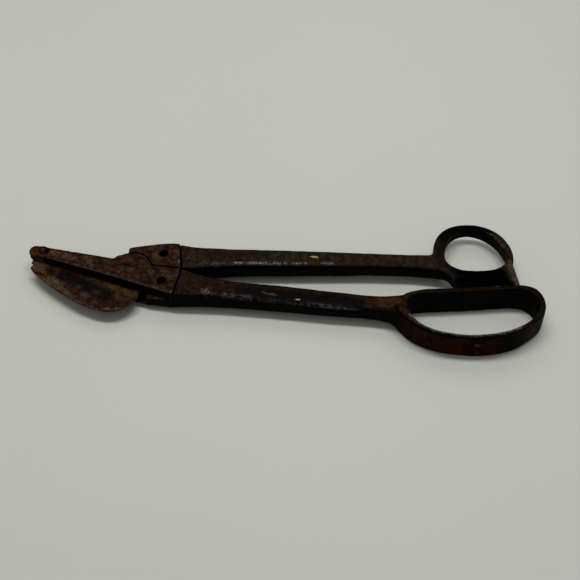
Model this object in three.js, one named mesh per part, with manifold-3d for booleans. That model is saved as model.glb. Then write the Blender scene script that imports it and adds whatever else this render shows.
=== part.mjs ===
// Long-handled metal shear lying flat and closed: two forged half-lapped blades on a pivot rivet,
// each with a forged handle let into its tail by a tenon and locked with a cross pin.
// Millimetres, +Z up. Plan sizes are measured from the pivot; +X runs from the pivot to the loops.
import * as THREE from "three";
import { mergeVertices } from "three/addons/utils/BufferGeometryUtils.js";
import Module from "manifold-3d";

// Heights
const MID_Z = 14; // plane where the two blades slide on each other, and the middle of every handle
const HEAD_HALF = 9.75; // thickness of one blade layer
const HEAD_TOP = MID_Z + HEAD_HALF;
const HEAD_BOTTOM = MID_Z - HEAD_HALF;
const GAP = 0.3; // between neighbouring pieces
const CUT_PAST = 2; // how far a cutting tool runs past a face
const ROUNDNESS = 16; // a round of radius r has this many facets times the square root of r

// Head, seen from above
const HUB_R = 17.5;
const EDGE_ANGLE = THREE.MathUtils.degToRad(15.4); // the cutting line's slope against the handles
const EDGE_OFFSET = -12.5; // the cutting line passes this far from the pivot
const NOSE = [84.9, -8.2]; // nose centre along and across the cutting line
const NOSE_R = 5.4;
const NOSE_TOP = 21.4; // the arm is thinner at its nose
const SEAM_MIDDLE = [42.3, 4]; // where both tails and both handles meet
const STRAIGHT_SEAM_NEAR = [38.5, -23.7];
const FOOT_THICKNESS = 1.8; // of the low foot that the straight blade's tail has under the belly's heel
const BELLY_SEAM_FAR = [36.9, 30.5];
const LEAF_OVERLAP = 2.5; // the belly blade's edge passes under the arm by this much when closed
const LEAF_EDGE_THICKNESS = 1.2; // what is left round the belly after its underside is ground away
const LEAF_SPINE = [14, -12]; // the underside grind runs from the belly towards this point
const GRIND_ALONG = 0.45; // share of the way to that point, along the cutting line
const GRIND_ACROSS = 0.62; // and across it
const BLADE_SAMPLES = 40; // points on the belly's curve
const TANG_SAMPLES = 12; // points on the tang's far side

// Rivets and pins
const PIVOT_R = 4.7;
const PIVOT_HEAD_R = 9;
const PIVOT_HEAD_THICKNESS = 2;
const WASHER_R = 11;
const WASHER_THICKNESS = 1.65;
const TIP_RIVET = [79, -6]; // centre along and across the cutting line
const TIP_RIVET_R = 3.2;
const TIP_RIVET_HEAD_R = 4.3;
const TIP_RIVET_RISE = 1.5; // of its dome's middle above the arm
const TIP_RIVET_SHOULDER = [0.75, 0.74]; // where the dome turns down, as shares of radius and rise
const PIN_R = 3.5;
const PIN_RECESS = 1.4;
const STRAIGHT_PIN = [27.1, -10.1];
const BELLY_PIN = [25, 18.6];

// Tenons that join each handle to its blade
const TENON_LENGTH = 19;
const TENON_WIDTH = 11;
const TENON_THICKNESS = 8;
const TENON_ROOT = 8; // how far a tenon runs on into its handle

// Loops
const FINGER_LOOP_HEIGHT = 28;
const FINGER_LOOP_RIM = { height: 5, inset: 1.2 };
const THUMB_LOOP_HEIGHT = 13;
const THUMB_LOOP_RIM = { height: 3, inset: 2.4 };
const WEB_RIM = { height: 1.5, inset: 1 };
const SCOOP_FLOOR = MID_Z + 0.6;
const LOOP_SAMPLES = 72; // points round each loop's outline
const RIM_STEPS = 3; // straight pieces in a rounded rim
const CORNER_STEPS = 4; // and in each rounded corner of a bar section

const wasm = await Module();
wasm.setup();

// ---- small geometry tools ----

function solidFrom(geometry) {
  const bare = geometry.clone();
  bare.deleteAttribute("normal");
  bare.deleteAttribute("uv");
  const merged = mergeVertices(bare, 1e-4);
  const triVerts = new Uint32Array(merged.index.array);
  const vertProperties = merged.attributes.position.array;
  return new wasm.Manifold(new wasm.Mesh({ numProp: 3, vertProperties, triVerts }));
}

function geometryFrom(solid) {
  const { vertProperties, triVerts } = solid.getMesh();
  const indexed = new THREE.BufferGeometry();
  indexed.setAttribute("position", new THREE.BufferAttribute(vertProperties, 3));
  indexed.setIndex(new THREE.BufferAttribute(triVerts, 1));
  const faceted = indexed.toNonIndexed();
  faceted.computeVertexNormals();
  return faceted;
}

function joined(solids) {
  return solids.reduce((sum, solid) => sum.add(solid));
}

function shapeOf(points) {
  return new THREE.Shape(points.map(([x, y]) => new THREE.Vector2(x, y)));
}

// A plan outline drawn out from height low to height high, its rims rounded over by `round` if given.
function slab(points, low, high, round = null) {
  const bevel = round
    ? {
        bevelEnabled: true,
        bevelThickness: round.height,
        bevelSize: round.inset,
        bevelOffset: -round.inset,
        bevelSegments: RIM_STEPS,
      }
    : { bevelEnabled: false };
  const rim = round ? round.height : 0;
  const depth = high - low - 2 * rim;
  const geometry = new THREE.ExtrudeGeometry(shapeOf(points), { depth, steps: 1, ...bevel });
  return solidFrom(geometry.translate(0, 0, low + rim));
}

function disc(radius, low, high, centre = [0, 0]) {
  const facets = Math.round(ROUNDNESS * Math.sqrt(radius));
  const geometry = new THREE.CylinderGeometry(radius, radius, high - low, facets);
  geometry.rotateX(Math.PI / 2);
  return solidFrom(geometry.translate(centre[0], centre[1], (low + high) / 2));
}

// A smooth line through the points, closed on itself or open.
function smooth(points, count, closed = false) {
  const vectors = points.map(([x, y]) => new THREE.Vector3(x, y, 0));
  const curve = new THREE.CatmullRomCurve3(vectors, closed, "centripetal");
  const samples = curve.getSpacedPoints(count);
  if (closed) samples.pop();
  return samples.map((point) => [point.x, point.y]);
}

// A plan point given along and across the cutting line, across being positive on the far side.
function bladePoint([along, across]) {
  const x = -along * Math.cos(EDGE_ANGLE) + across * Math.sin(EDGE_ANGLE);
  const y = along * Math.sin(EDGE_ANGLE) + across * Math.cos(EDGE_ANGLE);
  return [x, y];
}

// The rounded rectangle that a forged bar has in section, as [across, up] pairs about its middle.
function barSection(width, height, corner) {
  const points = [];
  for (const [signX, signY, start] of [[1, 1, 0], [-1, 1, 1], [-1, -1, 2], [1, -1, 3]]) {
    for (let step = 0; step <= CORNER_STEPS; step++) {
      const angle = ((start + step / CORNER_STEPS) * Math.PI) / 2;
      points.push([
        signX * (width / 2 - corner) + corner * Math.cos(angle),
        signY * (height / 2 - corner) + corner * Math.sin(angle),
      ]);
    }
  }
  return points;
}

// A closed solid through rings of the same number of points, its two end rings capped flat.
function skin(rings, capContour) {
  const sides = rings[0].length;
  const index = [];
  for (let ring = 0; ring + 1 < rings.length; ring++) {
    for (let side = 0; side < sides; side++) {
      const a = ring * sides + side;
      const b = ring * sides + ((side + 1) % sides);
      index.push(a, b, a + sides, b, b + sides, a + sides);
    }
  }
  const last = (rings.length - 1) * sides;
  for (const [a, b, c] of THREE.ShapeUtils.triangulateShape(capContour, [])) {
    index.push(a, c, b, last + a, last + b, last + c);
  }
  const geometry = new THREE.BufferGeometry();
  geometry.setAttribute("position", new THREE.Float32BufferAttribute(rings.flat(2), 3));
  geometry.setIndex(index);
  return solidFrom(geometry);
}

// A bar through stations of [near point, far point, height, corner radius], middle on MID_Z.
function bar(stations) {
  const rings = stations.map(([near, far, height, corner]) => {
    const width = Math.hypot(far[0] - near[0], far[1] - near[1]);
    return barSection(width, height, corner).map(([across, up]) => {
      const share = 0.5 + across / width;
      const x = THREE.MathUtils.lerp(near[0], far[0], share);
      const y = THREE.MathUtils.lerp(near[1], far[1], share);
      return [x, y, MID_Z + up];
    });
  });
  const [, , height, corner] = stations[0];
  const cap = barSection(height, height, corner).map(([across, up]) => new THREE.Vector2(across, up));
  return skin(rings, cap);
}

// A solid through plan outlines of the same number of points, each at its own height, from low to high.
function stacked(layers) {
  const contour = layers[0].outline.map(([x, y]) => new THREE.Vector2(x, y));
  const clockwise = THREE.ShapeUtils.isClockWise(contour);
  const turned = (points) => (clockwise ? [...points].reverse() : points);
  const rings = layers.map(({ outline, height }) => turned(outline).map(([x, y]) => [x, y, height]));
  return skin(rings, turned(contour));
}

// A solid whose [along the cutting line, height] profile is drawn out across that line.
function prismAcross(profile, low, high) {
  const rings = [low, high].map((across) =>
    profile.map(([along, height]) => [...bladePoint([along, across]), height]),
  );
  return skin(rings, profile.map(([along, height]) => new THREE.Vector2(along, height)));
}

// ---- tenon, pocket and pin of a handle joint ----

// The seam runs from SEAM_MIDDLE to seamEnd; the tenon crosses it level with the pin.
function tenonBlock(seamEnd, [, middleY], clearance) {
  const share = (middleY - SEAM_MIDDLE[1]) / (seamEnd[1] - SEAM_MIDDLE[1]);
  const seamX = THREE.MathUtils.lerp(SEAM_MIDDLE[0], seamEnd[0], share);
  const half = TENON_WIDTH / 2 + clearance;
  const low = MID_Z - TENON_THICKNESS / 2 - clearance;
  const high = MID_Z + TENON_THICKNESS / 2 + clearance;
  const end = seamX - TENON_LENGTH - clearance;
  const root = seamX + TENON_ROOT;
  const outline = [
    [end, middleY - half],
    [root, middleY - half],
    [root, middleY + half],
    [end, middleY + half],
  ];
  return slab(outline, low, high);
}

function pinHole(centre) {
  return disc(PIN_R + GAP, HEAD_BOTTOM - CUT_PAST, HEAD_TOP + CUT_PAST, centre);
}

function handlePin(centre) {
  return disc(PIN_R, HEAD_BOTTOM + PIN_RECESS, HEAD_TOP - PIN_RECESS, centre);
}

// ---- blades ----

// The straight blade: a narrow arm, the hub's upper half and a full-thickness tail.
function straightBlade() {
  const [seamX, seamY] = SEAM_MIDDLE;
  const seamCorner = [seamX, seamY - GAP / 2];
  const upperLow = MID_Z + GAP / 2;
  // The arm widens into a shoulder where it runs into the hub.
  const arm = slab(
    [[-6, EDGE_OFFSET], [NOSE[0], EDGE_OFFSET], [NOSE[0], NOSE[1] + NOSE_R], [79.5, -1.3], [75, -1.6],
      [18.8, 5.2], [17.7, 6.4], [16.9, 8.2], [15.7, 10], [13.9, 11]].map(bladePoint),
    upperLow,
    HEAD_TOP,
  );
  const nose = disc(NOSE_R, upperLow, HEAD_TOP, bladePoint(NOSE));
  // The hub's near side is cut straight along the cutting line.
  const beyondEdge = slab(
    [[-HUB_R, EDGE_OFFSET], [HUB_R, EDGE_OFFSET], [HUB_R, -2 * HUB_R], [-HUB_R, -2 * HUB_R]]
      .map(bladePoint),
    upperLow - CUT_PAST,
    HEAD_TOP + CUT_PAST,
  );
  const hub = disc(HUB_R, upperLow, HEAD_TOP).subtract(beyondEdge);
  const upperTail = slab(
    [bladePoint([0, EDGE_OFFSET]), STRAIGHT_SEAM_NEAR, seamCorner, [16.2, 5.5], [0, 5.5]],
    upperLow,
    HEAD_TOP,
  );
  // The tail's lower layer stands proud of the cutting line; its end stops the belly's heel.
  const tailBack = [STRAIGHT_SEAM_NEAR, seamCorner, [16.2, 5.5], [12, 0]];
  const tailOutline = [[13.6, -11.8], [17, -17.6], [15.4, -22.3], ...tailBack];
  const lowerTail = stacked([
    { outline: tailOutline, height: HEAD_BOTTOM },
    { outline: tailOutline, height: MID_Z },
    { outline: [[13.6, -11.8], [17, -17.6], [21, -19.2], ...tailBack], height: MID_Z + 1 },
  ]);
  const foot = slab(
    [[5, -20.3], [15.4, -22.3], [20, -20], [20, -12], [5, -12]],
    HEAD_BOTTOM,
    HEAD_BOTTOM + FOOT_THICKNESS,
  );
  const tail = lowerTail.add(foot).subtract(disc(HUB_R + 2 * GAP, HEAD_BOTTOM - CUT_PAST, upperLow));
  // The arm's top falls away from the hub to the nose.
  const fall = (NOSE_TOP - HEAD_TOP) / (NOSE[0] - HUB_R);
  const pastNose = NOSE[0] + 2 * NOSE_R;
  const away = prismAcross(
    [
      [HUB_R, HEAD_TOP],
      [pastNose, HEAD_TOP + fall * (pastNose - HUB_R)],
      [pastNose, HEAD_TOP + CUT_PAST],
      [HUB_R, HEAD_TOP + CUT_PAST],
    ],
    -2 * HUB_R,
    2 * HUB_R,
  );
  const holes = joined([
    disc(PIVOT_R + GAP, HEAD_BOTTOM - CUT_PAST, HEAD_TOP + CUT_PAST),
    disc(TIP_RIVET_R + GAP, MID_Z - CUT_PAST, HEAD_TOP, bladePoint(TIP_RIVET)),
    pinHole(STRAIGHT_PIN),
    tenonBlock(STRAIGHT_SEAM_NEAR, STRAIGHT_PIN, GAP),
  ]);
  return joined([arm, nose, hub, upperTail, tail]).subtract(away).subtract(holes);
}

// The belly blade: a leaf-shaped blade, the hub's lower half and a full-thickness tang with a horn
// that wraps the straight blade's hub.
function bellyBlade() {
  const [seamX, seamY] = SEAM_MIDDLE;
  const lowerHigh = MID_Z - GAP / 2;
  const belly = smooth(
    [
      [84.7, -21.2],
      [79.4, -25.4],
      [63, -32.2],
      [47, -37.3],
      [29, -41.4],
      [12, -42.3],
      [0, -39.6],
      [-7.8, -33.8],
      [-12.8, -26.4],
      [-14, -21],
      [-13, -14.8],
    ],
    BLADE_SAMPLES,
  );
  const leafFar = EDGE_OFFSET + LEAF_OVERLAP;
  const root = [[-10.5, -12], [0, 0], [20, leafFar + 3]];
  const tip = [[87.2, leafFar], [85.9, -16.8], [83.7, -17.8]];
  // The underside is ground away towards the belly and the tip, from a thin edge to the full layer.
  const towardsSpine = ([along, across]) => [
    THREE.MathUtils.lerp(along, LEAF_SPINE[0], GRIND_ALONG),
    THREE.MathUtils.lerp(across, LEAF_SPINE[1], GRIND_ACROSS),
  ];
  const topOutline = [...belly, ...root, ...tip].map(bladePoint);
  const lowOutline = [...belly.map(towardsSpine), ...root, ...tip.map(towardsSpine)].map(bladePoint);
  const leaf = stacked([
    { outline: lowOutline, height: HEAD_BOTTOM },
    { outline: topOutline, height: lowerHigh - LEAF_EDGE_THICKNESS },
    { outline: topOutline, height: lowerHigh },
  ]);
  const hub = disc(HUB_R, HEAD_BOTTOM, lowerHigh);
  const tangFar = smooth(
    [[-3, 22.8], [7.4, 25.7], [17.9, 28.3], [29, 30.2], BELLY_SEAM_FAR],
    TANG_SAMPLES,
  );
  const tangNear = [[seamX, seamY + GAP / 2], [16.2, 5.8], [0, 5.8], [-4.8, 12], [-4.8, 21.3]];
  const tang = slab([...tangFar, ...tangNear], HEAD_BOTTOM, HEAD_TOP);
  const hubRecess = disc(HUB_R + 1.5 * GAP, lowerHigh, HEAD_TOP + CUT_PAST);
  const holes = joined([
    disc(PIVOT_R + GAP, HEAD_BOTTOM - CUT_PAST, HEAD_TOP),
    pinHole(BELLY_PIN),
    tenonBlock(BELLY_SEAM_FAR, BELLY_PIN, GAP),
  ]);
  return joined([leaf, hub, tang]).subtract(hubRecess).subtract(holes);
}

// ---- rivets and pins ----

function pivotRivet() {
  const shank = disc(PIVOT_R, PIVOT_HEAD_THICKNESS / 2, HEAD_TOP);
  const head = disc(PIVOT_HEAD_R, 0, PIVOT_HEAD_THICKNESS);
  return joined([shank, head]);
}

function pivotWasher() {
  const low = PIVOT_HEAD_THICKNESS + GAP;
  const ring = disc(WASHER_R, low, low + WASHER_THICKNESS);
  return ring.subtract(disc(PIVOT_R + GAP, low - CUT_PAST, low + WASHER_THICKNESS + CUT_PAST));
}

// A rivet through the arm near its nose, set down to a low dome.
function tipRivet() {
  const bottom = MID_Z + 2 * GAP;
  const headLow = NOSE_TOP + 1.6 * GAP;
  const [shoulderOut, shoulderUp] = TIP_RIVET_SHOULDER;
  const profile = [
    [0, bottom],
    [TIP_RIVET_R, bottom],
    [TIP_RIVET_R, headLow],
    [TIP_RIVET_HEAD_R, headLow],
    [TIP_RIVET_HEAD_R * shoulderOut, NOSE_TOP + TIP_RIVET_RISE * shoulderUp],
    [0, NOSE_TOP + TIP_RIVET_RISE],
  ].map(([x, y]) => new THREE.Vector2(x, y));
  const facets = Math.round(ROUNDNESS * Math.sqrt(TIP_RIVET_R));
  const geometry = new THREE.LatheGeometry(profile, facets).rotateX(Math.PI / 2);
  const [x, y] = bladePoint(TIP_RIVET);
  return solidFrom(geometry.translate(x, y, 0));
}

// ---- handles ----

// Nearer handle: a forged bar that opens into the tall loop for the fingers.
function fingerLoopHandle() {
  const outer = smooth(
    [[219.6, -22], [227, -9.6], [240, -4.4], [262, -1], [290, 2.7], [315, 6.6], [326.6, 7.4],
      [336.8, 3], [342.2, -10.4], [340.4, -20.4], [330.5, -31.7], [317, -41.6], [301, -47.3], [278, -49.9],
      [256, -48.2], [238, -41.5], [227.5, -33]],
    LOOP_SAMPLES,
    true,
  );
  const inner = smooth(
    [[230, -21.5], [234.5, -11.4], [245, -8.8], [262, -6.6], [285, -3.4], [308, 0.4], [323, 1.8],
      [332, -2.2], [336.8, -12], [332.4, -24], [322, -34], [306, -42], [288, -46.2], [268, -46.8],
      [250, -43.2], [237, -35]],
    LOOP_SAMPLES,
    true,
  );
  const low = MID_Z - FINGER_LOOP_HEIGHT / 2;
  const high = MID_Z + FINGER_LOOP_HEIGHT / 2;
  const band = slab(outer, low, high, FINGER_LOOP_RIM);
  const hole = slab(inner, low - CUT_PAST, high + CUT_PAST);
  const shank = bar([
    [[38.9, -23.6], [42.6, 3.4], 19.5, 1.6],
    [[50, -23.2], [53, 0.8], 18.9, 2.4],
    [[66, -22.3], [68, -2], 18.3, 3],
    [[86, -22.2], [86, -4.4], 18, 3.5],
    [[128, -22.9], [128, -5.2], 17.6, 3.5],
    [[167, -24.3], [167, -7.5], 17, 3.5],
    [[196, -24.6], [196, -8.8], 16.4, 3.5],
    [[209, -24.8], [209, -8.9], 17.2, 3.8],
    [[217, -26], [217, -8.5], 20, 4.2],
    [[223.5, -29.8], [225, -8.2], 24, 4.6],
    [[229.5, -34.8], [233, -7.8], 26.6, 4.6],
  ]);
  const tenon = tenonBlock(STRAIGHT_SEAM_NEAR, STRAIGHT_PIN, 0);
  return joined([band, shank, tenon]).subtract(hole).subtract(pinHole(STRAIGHT_PIN));
}

// Farther handle: a forged bar with the round loop for the thumb, and on its near side a scooped
// web whose ends, a ridge and a heel, stop against the finger loop.
function thumbLoopHandle() {
  const outer = smooth(
    [[251.4, 44], [253.2, 58.2], [260.4, 68.6], [271, 74.6], [283, 76.4], [294, 74.8], [304.6, 69.8],
      [313, 60.8], [318, 49.2], [318.6, 36], [308, 19.4], [286, 16.4], [266, 17.6], [254, 30]],
    LOOP_SAMPLES,
    true,
  );
  const inner = smooth(
    [[260.8, 45], [263.6, 57.8], [270.4, 67], [280.6, 71.2], [292, 69.2], [302.4, 61.6], [310, 50.6],
      [313.6, 38.8], [304, 28.8], [289, 25.2], [273, 25.4], [263, 32.4]],
    LOOP_SAMPLES,
    true,
  );
  const low = MID_Z - THUMB_LOOP_HEIGHT / 2;
  const high = MID_Z + THUMB_LOOP_HEIGHT / 2;
  const band = slab(outer, low, high, THUMB_LOOP_RIM);
  const hole = slab(inner, low - CUT_PAST, high + CUT_PAST);
  const webOutline = [[254, 30], [262.6, 21.6], [268.6, 13.6], [273.4, 6.4], [278, 5], [304, 7.6],
    [319.6, 9], [323.6, 11.6], [318.2, 34], [306, 26]];
  const fillet = slab([[246.6, 37], [249.8, 40.4], [251.4, 43.4], [252, 48], [258, 46], [256, 36]], low, high,
    WEB_RIM);
  const web = slab(webOutline, low, high, WEB_RIM);
  const scoopOutline = [[275.6, 4], [313.4, 4], [313.4, 17.6], [306, 17], [286, 16], [268.6, 15.6]];
  const scoop = slab(scoopOutline, SCOOP_FLOOR, high + CUT_PAST);
  const shank = bar([
    [[42.6, 4.4], [37.2, 30.1], 19.5, 1.6],
    [[52, 5.8], [48, 29.4], 18.8, 2.4],
    [[66, 8], [63, 29.7], 18.2, 3],
    [[82, 10.4], [81, 30.3], 18, 3.5],
    [[98, 12.3], [98, 31.3], 17.8, 3.5],
    [[140, 15.8], [139, 33.8], 17.2, 3.5],
    [[173, 18.9], [173, 35.2], 16.6, 3.4],
    [[206, 21.4], [206, 36.4], 16, 3.2],
    [[233, 22.6], [232, 37.7], 15.4, 3],
    [[252, 22], [249, 39.3], 14.6, 3],
    [[264, 20], [258, 42], 13.2, 3],
  ]);
  const tenon = tenonBlock(BELLY_SEAM_FAR, BELLY_PIN, 0);
  const blank = joined([band, web, fillet, shank]).subtract(scoop);
  return blank.add(tenon).subtract(hole).subtract(pinHole(BELLY_PIN));
}

// ---- assembly ----

const forgedSteel = { color: 0x3b2f28, roughness: 0.75, metalness: 0.6 };
const wornPaint = { color: 0x17171a, roughness: 0.5, metalness: 0.4 };
const darkIron = { color: 0x1c1a19, roughness: 0.7, metalness: 0.6 };
const rustyIron = { color: 0x6b3a26, roughness: 0.9, metalness: 0.3 };

const pieces = [
  ["straight_blade", straightBlade(), forgedSteel],
  ["belly_blade", bellyBlade(), forgedSteel],
  ["finger_loop_handle", fingerLoopHandle(), wornPaint],
  ["thumb_loop_handle", thumbLoopHandle(), wornPaint],
  ["pivot_rivet", pivotRivet(), darkIron],
  ["pivot_washer", pivotWasher(), darkIron],
  ["tip_rivet", tipRivet(), rustyIron],
  ["finger_handle_pin", handlePin(STRAIGHT_PIN), darkIron],
  ["thumb_handle_pin", handlePin(BELLY_PIN), darkIron],
];

const shear = new THREE.Group();
for (const [name, solid, look] of pieces) {
  const mesh = new THREE.Mesh(geometryFrom(solid), new THREE.MeshStandardMaterial(look));
  mesh.name = name;
  shear.add(mesh);
}

// The part's origin is under the middle of the whole tool, on the surface that it lies on.
const bounds = new THREE.Box3().setFromObject(shear);
const middle = bounds.getCenter(new THREE.Vector3());
shear.position.set(-middle.x, -middle.y, -bounds.min.z);

const root = new THREE.Group();
root.add(shear);
export default root;
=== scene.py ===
"""Looks of a long-handled metal shear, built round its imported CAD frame.

Every CAD node is copied, remeshed fine enough to carry worn edges and pitting, and given a
procedural aged-steel material. Region weights, such as where paint has worn to brown steel,
are painted on the meshes as attributes from positions in the tool's own frame.
"""

import math

import bpy
import numpy as np
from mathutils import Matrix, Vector


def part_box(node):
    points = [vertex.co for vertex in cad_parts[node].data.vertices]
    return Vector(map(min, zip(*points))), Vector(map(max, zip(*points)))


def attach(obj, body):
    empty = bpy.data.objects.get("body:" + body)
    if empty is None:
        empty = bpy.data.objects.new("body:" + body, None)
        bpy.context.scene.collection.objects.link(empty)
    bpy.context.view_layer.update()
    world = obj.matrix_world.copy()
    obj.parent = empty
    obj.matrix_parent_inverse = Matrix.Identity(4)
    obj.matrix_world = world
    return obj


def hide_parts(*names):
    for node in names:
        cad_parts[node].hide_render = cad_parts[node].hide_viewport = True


MM = 0.001

# The photograph's camera, as angles and distances about a point of the tool.
CAMERA_AZIMUTH = 4.8
CAMERA_ELEVATION = 52.0
CAMERA_DISTANCE = 0.955
CAMERA_SPAN = 0.50435  # picture width over focal length
LOOK_FROM_PIVOT = (133.4, -4.0)  # mm
LOOK_HEIGHT = 14.0

# Blades: the cutting line's slope against the handles.
EDGE_ANGLE = math.radians(15.4)

# Ends of the seams between blades and handles, in mm from the pivot.
SEAM_MIDDLE = (42.3, 4.0)
SEAM_NEAR = (38.5, -23.7)
SEAM_FAR = (36.9, 30.5)
SEAM_REACH = 5.0  # a seam's edges stay sharper within this
SEAM_PUSH = 0.45  # how far a handle's end is moved up to its blade
SEAM_DARK = 0.9  # half width of the dark line on a seam
SEAM_BLUR = 0.4

# Pivot rivet, cross pins and the cut by the pivot's end, in mm from the pivot.
RIVET_R = 4.7
PEENED_R = 5.15
PEENED_RISE = 0.12  # of the rivet's end in its middle
PEENED_FALL = 0.3  # and how much lower the end is at its rim
STRAIGHT_PIN = (27.1, -10.1)
BELLY_PIN = (25.0, 18.6)
PIN_HOLE_R = 3.8
PIVOT_GROOVE = ((-6.0, 4.6), (1.2, 2.4))
GROOVE_HALF_WIDTH = 0.95
GROOVE_DEPTH = 0.5

# The line where the straight blade's hub and tail meet the tang, in mm and degrees about the pivot.
LAP_R = 17.6
LAP_START = 18
LAP_END = 106
LAP_CORNER = (16.4, 5.6)
LAP_HALF_WIDTH = 0.85
LAP_BLUR = 0.25

# Heights in mm above the floor, each a little below the faces that it tells from the rest.
TOP = 19  # top faces of both blades and of the near handle
FAR_TOP = 18  # top face of the far handle; the pivot rivet is darker below this
LEAF_TOP = 12.6  # upper face of the leaf blade
HUB_TOP = 22  # top of the hub, and the pivot rivet's end
RIVET_END = 20  # the part of the pivot rivet that is peened
TIP_TOP = 21  # dome of the tip rivet
RIM = 25  # rim of the finger loop
FOOT_TOP = 7  # everything on the straight blade but its low foot
HEIGHT_BLUR = 0.5

# The two spots on the finger loop's wall lie between these heights.
YELLOW_SPOT_HEIGHTS = (14.5, 18.5)
RUST_SPOT_HEIGHTS = (4, 8)

# The finger loop's near rim, where a bright line is painted as a highlight, in mm from the pivot.
NEAR_RIM = [
    (232, -31.6), (240, -39.2), (252, -45.4), (268, -48), (284, -48), (306, -43.6), (321, -36.8),
]

# Relief: how far apart forging dents and pits are, and how far blurring reaches, in mm.
DENT_SPAN = 14
PIT_SPAN = 2.6
WEAR_REACH = 1.5
WEAR_RELIEF = 0.45  # what counts as fully worn, or fully hollow and so painted into shade
ROUNDING_RATE = 2  # rounds of blurring for each square of reach over voxel
WEAR_RATE = 1.3

LATTICE_SIDE = 32  # cells before the seeded noise repeats
LATTICE_GAIN = 1.8  # brings the octaves' average back to about -1..1
OCTAVE_SHIFT = 7.3  # in cells, so that the octaves don't line up
MARK_FALLOFF = 1.5  # how fast a patch or stroke fades


# ---------------------------------------------------------------- noise on numbers


def lattice_noise(points, feature, seed, octaves=3):
    """Smooth seeded noise in about -1..1 at points in mm, its largest features `feature` mm across."""
    total = np.zeros(len(points))
    weights = 0.0
    for octave in range(octaves):
        weight = 0.5**octave
        size = (LATTICE_SIDE, LATTICE_SIDE, LATTICE_SIDE)
        table = np.random.default_rng(seed + octave).uniform(-1, 1, size)
        place = points / feature * 2**octave + OCTAVE_SHIFT * (octave + 1)
        cell = np.floor(place).astype(int)
        share = place - cell
        share = share * share * (3 - 2 * share)
        value = np.zeros(len(points))
        for corner in range(8):
            step = np.array([corner & 1, corner >> 1 & 1, corner >> 2 & 1])
            part = np.where(step, share, 1 - share).prod(axis=1)
            at = (cell + step) % LATTICE_SIDE
            value += part * table[at[:, 0], at[:, 1], at[:, 2]]
        total += weight * value
        weights += weight
    return total / weights * LATTICE_GAIN


def smoothstep(low, high, value):
    """0 at low, 1 at high, eased between; low may be the larger one."""
    t = np.clip((value - low) / (high - low), 0, 1)
    return t * t * (3 - 2 * t)


# ---------------------------------------------------------------- meshes


def coordinates(mesh):
    co = np.zeros(len(mesh.vertices) * 3)
    mesh.vertices.foreach_get("co", co)
    return co.reshape(-1, 3)


def normals_of(mesh):
    values = np.zeros(len(mesh.vertices) * 3)
    mesh.vertices.foreach_get("normal", values)
    return values.reshape(-1, 3)


def edges_of(mesh):
    pairs = np.zeros(len(mesh.edges) * 2, int)
    mesh.edges.foreach_get("vertices", pairs)
    return pairs.reshape(-1, 2)


def set_coordinates(mesh, points):
    mesh.vertices.foreach_set("co", points.astype(np.float32).ravel())
    mesh.update()


def blurred(values, edges, rounds):
    """Each vertex's value averaged with its neighbours', `rounds` times."""
    count = len(values)
    a, b = edges[:, 0], edges[:, 1]
    degree = np.bincount(a, minlength=count) + np.bincount(b, minlength=count) + 1.0
    flat = values.reshape(count, -1).copy()
    for _ in range(rounds):
        total = flat.copy()
        for column in range(flat.shape[1]):
            total[:, column] += np.bincount(a, flat[b, column], count)
            total[:, column] += np.bincount(b, flat[a, column], count)
        flat = total / degree[:, None]
    return flat.reshape(values.shape)


def remeshed(node, voxel):
    """A new object with a CAD node's shape, as an even fine mesh of `voxel` mm."""
    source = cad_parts[node]
    mesh = source.data.copy()
    mesh.materials.clear()
    piece = bpy.data.objects.new(node + "_aged", mesh)
    bpy.context.scene.collection.objects.link(piece)
    weld = piece.modifiers.new("weld", "WELD")
    weld.merge_threshold = 0.002 * MM
    remesh = piece.modifiers.new("remesh", "REMESH")
    remesh.mode = "VOXEL"
    remesh.voxel_size = voxel * MM
    bpy.context.view_layer.update()
    evaluated = piece.evaluated_get(bpy.context.evaluated_depsgraph_get())
    fine = bpy.data.meshes.new_from_object(evaluated)
    piece.modifiers.clear()
    piece.data = fine
    return piece


def set_attribute(mesh, name, values):
    attribute = mesh.attributes.get(name) or mesh.attributes.new(name, "FLOAT", "POINT")
    attribute.data.foreach_set("value", np.clip(values, 0, 1).astype(np.float32))


def attribute_values(mesh, name):
    values = np.zeros(len(mesh.vertices), np.float32)
    mesh.attributes[name].data.foreach_get("value", values)
    return values


def roughened(points, normals, dents, pits, seed):
    """The points moved along their normals by broad forging dents and small pits, in mm."""
    in_mm = points / MM
    forging = lattice_noise(in_mm, DENT_SPAN, seed) * dents
    pitting = -smoothstep(0.25, 0.9, lattice_noise(in_mm, PIT_SPAN, seed + 20, octaves=2)) * pits
    return points + normals * ((forging + pitting) * MM)[:, None]


def record_wear(mesh, edges, voxel):
    """Records where edges stand out to be rubbed, the hollows to be painted into shade, and the steep
    faces turned to the near side, which are painted black as shade.
    """
    points = coordinates(mesh)
    normals = normals_of(mesh)
    rounds = max(3, round((WEAR_REACH / voxel) ** 2 * WEAR_RATE))
    relief = ((points - blurred(points, edges, rounds)) * normals).sum(axis=1) / MM
    relief = blurred(relief, edges, 1) / WEAR_RELIEF
    set_attribute(mesh, "worn", relief * smoothstep(-0.1, 0.45, normals[:, 2]))
    # painted shade: hollows are marked to be blackened
    set_attribute(mesh, "hollow_shade", -relief)
    # painted shade: steep faces turned to the near side are marked to be made black
    steep = smoothstep(0.8, 0.35, np.abs(normals[:, 2]))
    faces_near = smoothstep(0.5, -0.1, normals[:, 1])
    set_attribute(mesh, "near_face_shade", steep * faces_near)


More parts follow.
